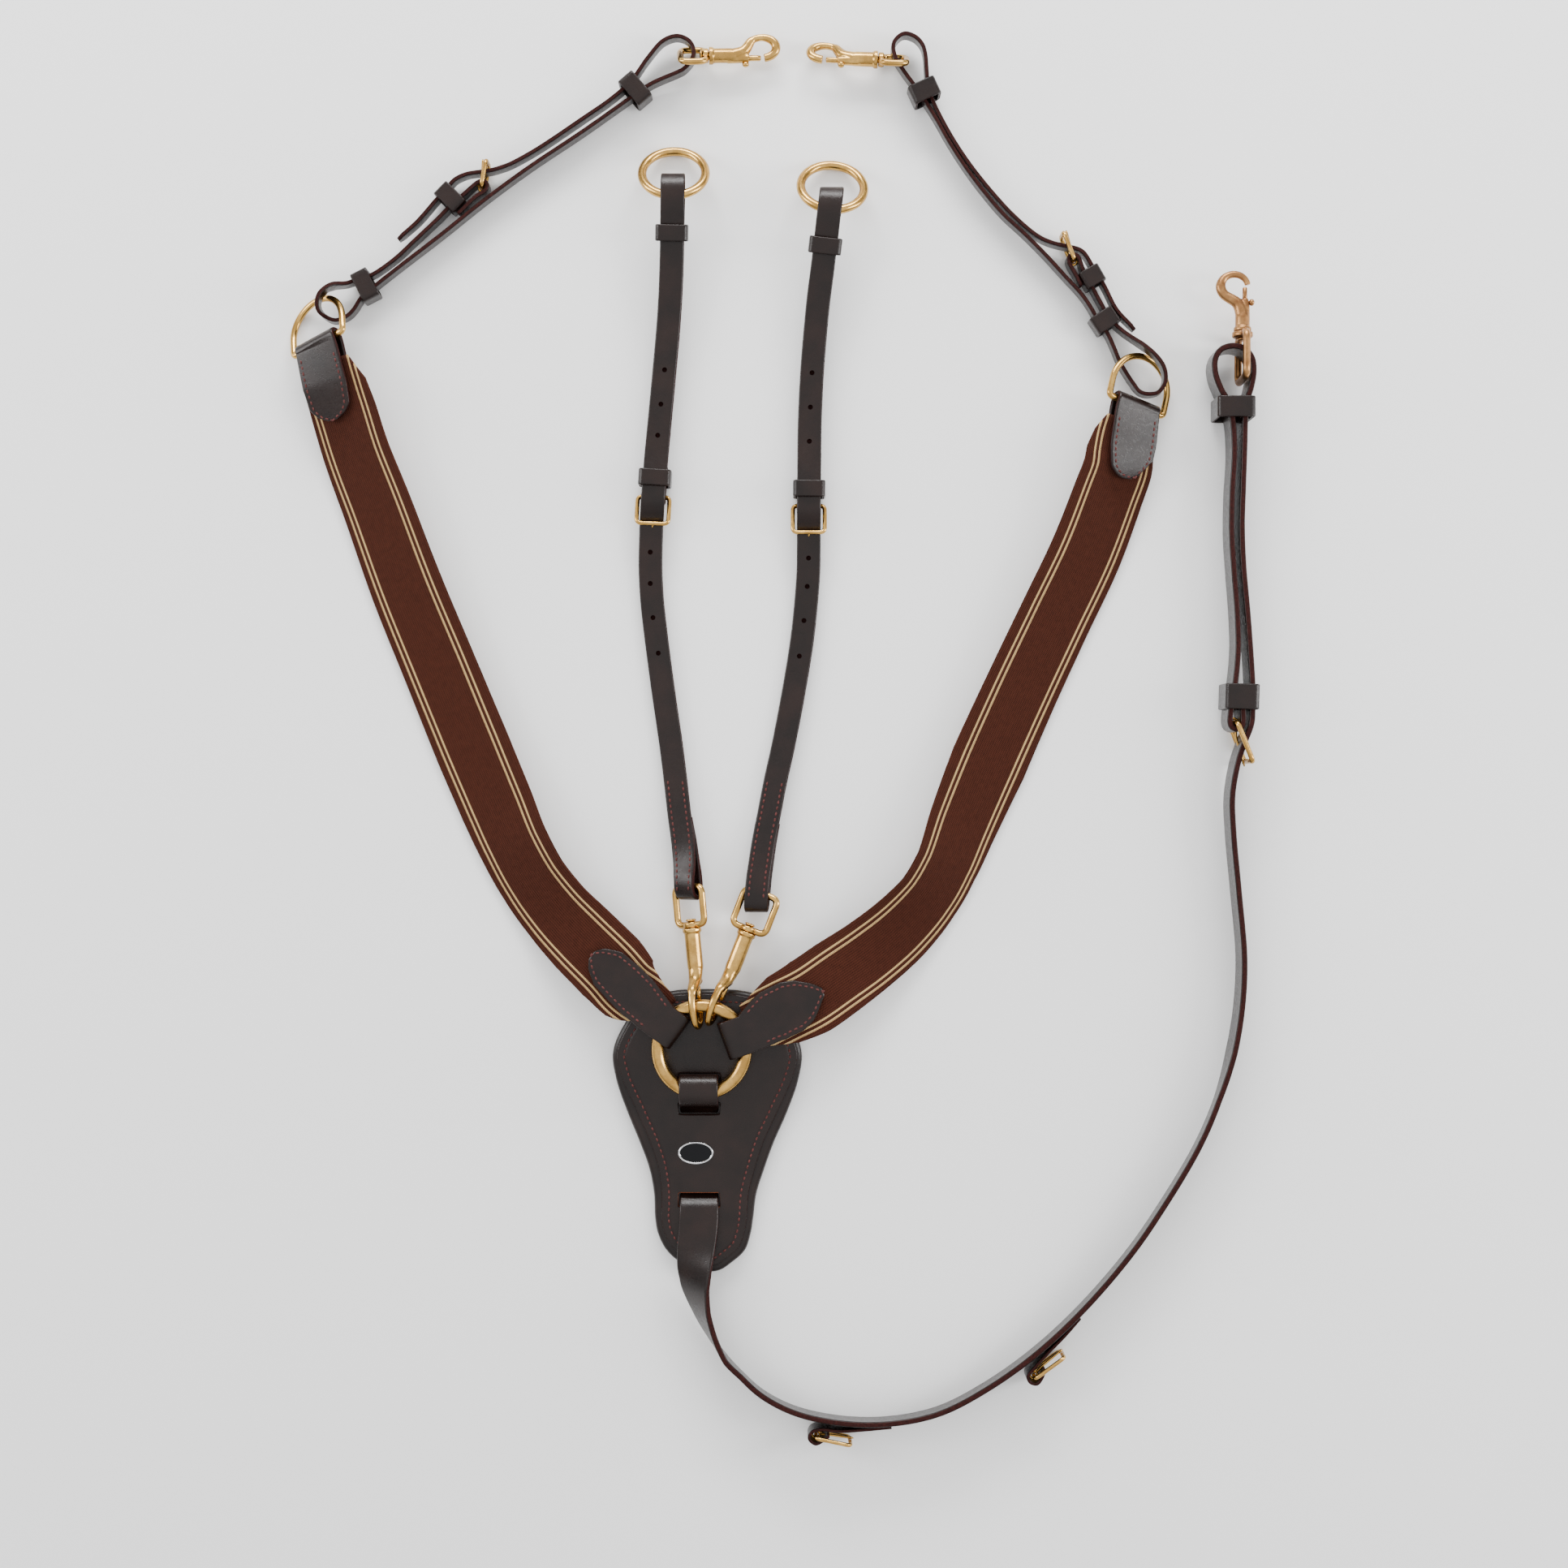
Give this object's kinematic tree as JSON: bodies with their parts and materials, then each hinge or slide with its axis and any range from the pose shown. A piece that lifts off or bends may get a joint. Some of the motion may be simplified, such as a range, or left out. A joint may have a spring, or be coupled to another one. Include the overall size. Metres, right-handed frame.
{
  "type": "horse breastplate",
  "caption": "Leather hunting breastplate laid flat: padded chest shield and ring, elastic neck pieces, and straps with buckles, keepers, brass rings and bolt snaps.",
  "frame": {"origin": "on the back face of the chest pad, directly behind the centre of the centre ring", "axes": "+Z out of the pad's front; +Y from the pad's point towards the saddle and rein straps; +X to the right with the pad facing the viewer"},
  "size_m": [0.65, 0.9477, 0.0382],
  "materials": {
    "leather": "dark brown smooth bridle leather, waxed",
    "lining": "soft dark lining leather",
    "foam": "felted padding",
    "webbing": "woven elastic, brown with cream stripes",
    "brass": "polished solid brass",
    "badge": "polished rim, dark enamel face"
  },
  "bodies": {
    "chest_pad": {"pad_lining": "lining", "pad_foam": "foam", "pad_shield": "leather", "badge": "badge", "girth_strap": "leather", "girth_keeper_1": "leather", "girth_keeper_2": "leather", "girth_buckle": "brass", "girth_tongue": "brass", "rein_snap_left": "brass", "rein_snap_right": "brass"},
    "centre_ring": {"centre_ring": "brass"},
    "girth_eye": {"girth_eye": "brass"},
    "girth_snap": {"girth_snap": "brass"},
    "girth_bolt": {"girth_bolt": "brass"},
    "spare_buckle_1": {"spare_buckle_1": "brass"},
    "spare_buckle_2": {"spare_buckle_2": "brass"},
    "neck_left": {"elastic_left": "webbing", "ring_tab_left": "leather", "dee_tab_left": "leather"},
    "saddle_strap_left": {"dee_left": "brass", "saddle_strap_left": "leather", "saddle_keeper_left_1": "leather", "saddle_keeper_left_2": "leather", "saddle_keeper_left_3": "leather", "saddle_buckle_left": "brass", "saddle_tongue_left": "brass"},
    "saddle_eye_left": {"saddle_eye_left": "brass"},
    "saddle_snap_left": {"saddle_snap_left": "brass"},
    "saddle_bolt_left": {"saddle_bolt_left": "brass"},
    "rein_eye_left": {"rein_eye_left": "brass"},
    "rein_strap_left": {"rein_strap_left": "leather", "rein_keeper_left_1": "leather", "rein_keeper_left_2": "leather", "rein_buckle_left": "brass", "rein_tongue_left": "brass"},
    "rein_ring_left": {"rein_ring_left": "brass"},
    "rein_bolt_left": {"rein_bolt_left": "brass"},
    "neck_right": {"elastic_right": "webbing", "ring_tab_right": "leather", "dee_tab_right": "leather"},
    "saddle_strap_right": {"dee_right": "brass", "saddle_strap_right": "leather", "saddle_keeper_right_1": "leather", "saddle_keeper_right_2": "leather", "saddle_keeper_right_3": "leather", "saddle_buckle_right": "brass", "saddle_tongue_right": "brass"},
    "saddle_eye_right": {"saddle_eye_right": "brass"},
    "saddle_snap_right": {"saddle_snap_right": "brass"},
    "saddle_bolt_right": {"saddle_bolt_right": "brass"},
    "rein_eye_right": {"rein_eye_right": "brass"},
    "rein_strap_right": {"rein_strap_right": "leather", "rein_keeper_right_1": "leather", "rein_keeper_right_2": "leather", "rein_buckle_right": "brass", "rein_tongue_right": "brass"},
    "rein_ring_right": {"rein_ring_right": "brass"},
    "rein_bolt_right": {"rein_bolt_right": "brass"}
  },
  "joints": [
    {"name": "centre_ring_turn", "type": "hinge", "parent": "chest_pad", "child": "centre_ring", "pos_m": [0, 0, 0.0212], "axis": [0, 0, 1], "continuous": true},
    {"name": "neck_swing_left", "type": "hinge", "parent": "chest_pad", "child": "neck_left", "pos_m": [-0.02374, 0.01725, 0.0212], "axis": [0, 0, 1], "range_deg": [0, 3]},
    {"name": "dee_swing_left", "type": "hinge", "parent": "neck_left", "child": "saddle_strap_left", "pos_m": [-0.2564, 0.4721, 0.021], "axis": [0.8238, 0.3186, 0.4688], "range_deg": [0, 10]},
    {"name": "saddle_eye_turn_left", "type": "hinge", "parent": "saddle_strap_left", "child": "saddle_eye_left", "pos_m": [-0.01457, 0.66717, 0.01234], "axis": [0, 0, 1], "range_deg": [-10, 10]},
    {"name": "saddle_snap_swivel_left", "type": "hinge", "parent": "saddle_eye_left", "child": "saddle_snap_left", "pos_m": [0.0044, 0.6676, 0.0114], "axis": [0.9985, 0.0226, -0.0493], "continuous": true},
    {"name": "saddle_bolt_slide_left", "type": "slide", "parent": "saddle_snap_left", "child": "saddle_bolt_left", "axis": [-0.9985, -0.0226, 0.0493], "range_m": [0, 0.005], "stiffness_N_per_m": 400, "springref_m": -0.002},
    {"name": "rein_eye_swivel_left", "type": "hinge", "parent": "chest_pad", "child": "rein_eye_left", "pos_m": [-0.0069, 0.081, 0.0134], "axis": [0.0964, -0.9944, 0.0428], "range_deg": [-6, 6]},
    {"name": "rein_strap_lift_left", "type": "hinge", "parent": "rein_eye_left", "child": "rein_strap_left", "pos_m": [-0.00955, 0.10835, 0.01222], "axis": [1, 0, 0], "range_deg": [0, 8]},
    {"name": "rein_ring_tip_left", "type": "hinge", "parent": "rein_strap_left", "child": "rein_ring_left", "pos_m": [-0.0189, 0.57, 0.0272], "axis": [1, 0, 0], "range_deg": [0, 15]},
    {"name": "rein_bolt_slide_left", "type": "slide", "parent": "chest_pad", "child": "rein_bolt_left", "axis": [-0.0964, 0.9944, -0.0428], "range_m": [0, 0.008], "stiffness_N_per_m": 400, "springref_m": -0.002},
    {"name": "neck_swing_right", "type": "hinge", "parent": "chest_pad", "child": "neck_right", "pos_m": [0.02758, 0.01004, 0.0212], "axis": [0, 0, 1], "range_deg": [-3, 0]},
    {"name": "dee_swing_right", "type": "hinge", "parent": "neck_right", "child": "saddle_strap_right", "pos_m": [0.291, 0.4311, 0.018], "axis": [-0.8707, 0.2728, 0.4092], "range_deg": [-10, 0]},
    {"name": "saddle_eye_turn_right", "type": "hinge", "parent": "saddle_strap_right", "child": "saddle_eye_right", "pos_m": [0.13739, 0.66412, 0.01209], "axis": [0, 0, 1], "range_deg": [-7, 10]},
    {"name": "saddle_snap_swivel_right", "type": "hinge", "parent": "saddle_eye_right", "child": "saddle_snap_right", "pos_m": [0.1184, 0.6648, 0.0119], "axis": [-0.9993, 0.0357, -0.0099], "continuous": true},
    {"name": "saddle_bolt_slide_right", "type": "slide", "parent": "saddle_snap_right", "child": "saddle_bolt_right", "axis": [0.9993, -0.0357, 0.0099], "range_m": [0, 0.005], "stiffness_N_per_m": 400, "springref_m": -0.002},
    {"name": "rein_eye_swivel_right", "type": "hinge", "parent": "chest_pad", "child": "rein_eye_right", "pos_m": [0.0303, 0.0783, 0.0126], "axis": [-0.3631, -0.9301, 0.0564], "range_deg": [-6, 6]},
    {"name": "rein_strap_lift_right", "type": "hinge", "parent": "rein_eye_right", "child": "rein_strap_right", "pos_m": [0.04028, 0.10388, 0.01105], "axis": [1, 0, 0], "range_deg": [0, 8]},
    {"name": "rein_ring_tip_right", "type": "hinge", "parent": "rein_strap_right", "child": "rein_ring_right", "pos_m": [0.0855, 0.5607, 0.0272], "axis": [0.9928, -0.1197, 0], "range_deg": [0, 15]},
    {"name": "rein_bolt_slide_right", "type": "slide", "parent": "chest_pad", "child": "rein_bolt_right", "axis": [0.3631, 0.9301, -0.0564], "range_m": [0, 0.008], "stiffness_N_per_m": 400, "springref_m": -0.002},
    {"name": "girth_eye_turn", "type": "hinge", "parent": "chest_pad", "child": "girth_eye", "pos_m": [0.3619, 0.44854, 0.02018], "axis": [0, 0, 1], "range_deg": [-8, 8]},
    {"name": "girth_snap_swivel", "type": "hinge", "parent": "girth_eye", "child": "girth_snap", "pos_m": [0.3622, 0.4805, 0.0186], "axis": [0.0094, 0.9987, -0.0493], "continuous": true},
    {"name": "girth_bolt_slide", "type": "slide", "parent": "girth_snap", "child": "girth_bolt", "axis": [-0.0094, -0.9987, 0.0493], "range_m": [0, 0.005], "stiffness_N_per_m": 400, "springref_m": -0.002},
    {"name": "spare_buckle_1_swing", "type": "hinge", "parent": "chest_pad", "child": "spare_buckle_1", "pos_m": [0.0765, -0.2591, 0.0134], "axis": [0, 0, 1], "range_deg": [-40, 0]},
    {"name": "spare_buckle_2_swing", "type": "hinge", "parent": "chest_pad", "child": "spare_buckle_2", "pos_m": [0.2228, -0.2193, 0.0134], "axis": [0, 0, 1], "range_deg": [-40, 0]}
  ]
}
